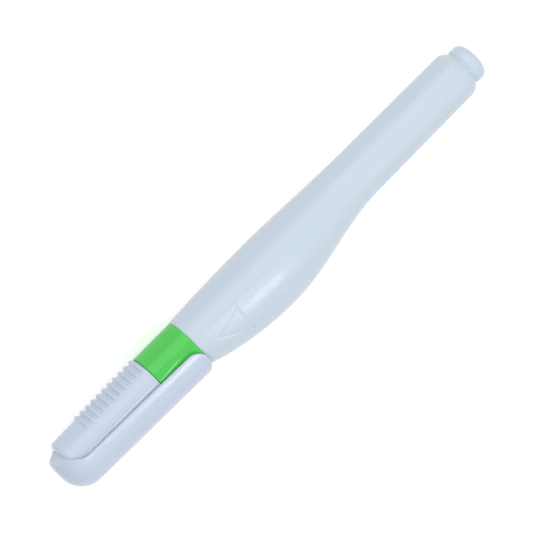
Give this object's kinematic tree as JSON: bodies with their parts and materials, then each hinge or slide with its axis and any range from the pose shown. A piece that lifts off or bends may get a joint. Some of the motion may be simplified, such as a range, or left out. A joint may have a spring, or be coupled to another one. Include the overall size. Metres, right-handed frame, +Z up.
{
  "type": "correction pen",
  "caption": "Capped squeeze correction pen with a bellied barrel, ribbed cap with a shell clip, coloured nozzle collar, metal tip with a sprung valve needle and a mixing ball.",
  "frame": {"origin": "under the middle of the pen's bounding box, on the surface that the pen lies on", "axes": "+X along the pen from the cap's nose to the tail, +Y towards the ribbed side, -Y towards the clip and the belly, +Z up"},
  "size_m": [0.142, 0.0187, 0.017],
  "materials": {
    "white_shell": "glossy bluish white, blow moulded",
    "white_plug": "glossy bluish white",
    "white_cap": "satin gloss bluish white, moulded",
    "green_collar": "glossy bright green, moulded",
    "tip_steel": "turned",
    "needle_steel": "ground",
    "spring_wire": "drawn wire",
    "ball_steel": "polished",
    "inner_plastic": "moulded",
    "soft_seal": "soft moulded"
  },
  "bodies": {
    "barrel": {"barrel": "white_shell", "tail_plug": "white_plug", "nozzle": "green_collar", "metal_tip": "tip_steel", "spring_retainer": "inner_plastic", "needle_spring": "spring_wire"},
    "needle": {"valve_needle": "needle_steel"},
    "ball": {"mixing_ball": "ball_steel"},
    "cap": {"cap": "white_cap", "tip_seal": "soft_seal"}
  },
  "joints": [
    {"name": "cap_pull", "type": "slide", "parent": "barrel", "child": "cap", "axis": [-1, 0, 0], "range_m": [0, 0.04]},
    {"name": "needle_press", "type": "slide", "parent": "barrel", "child": "needle", "axis": [1, 0, 0], "range_m": [0, 0.0006], "stiffness_N_per_m": 300, "springref_m": -0.001, "deforming": ["needle_spring"]},
    {"name": "ball_shake", "type": "slide", "parent": "barrel", "child": "ball", "axis": [1, 0, 0], "range_m": [-0.0645, 0.01]}
  ]
}
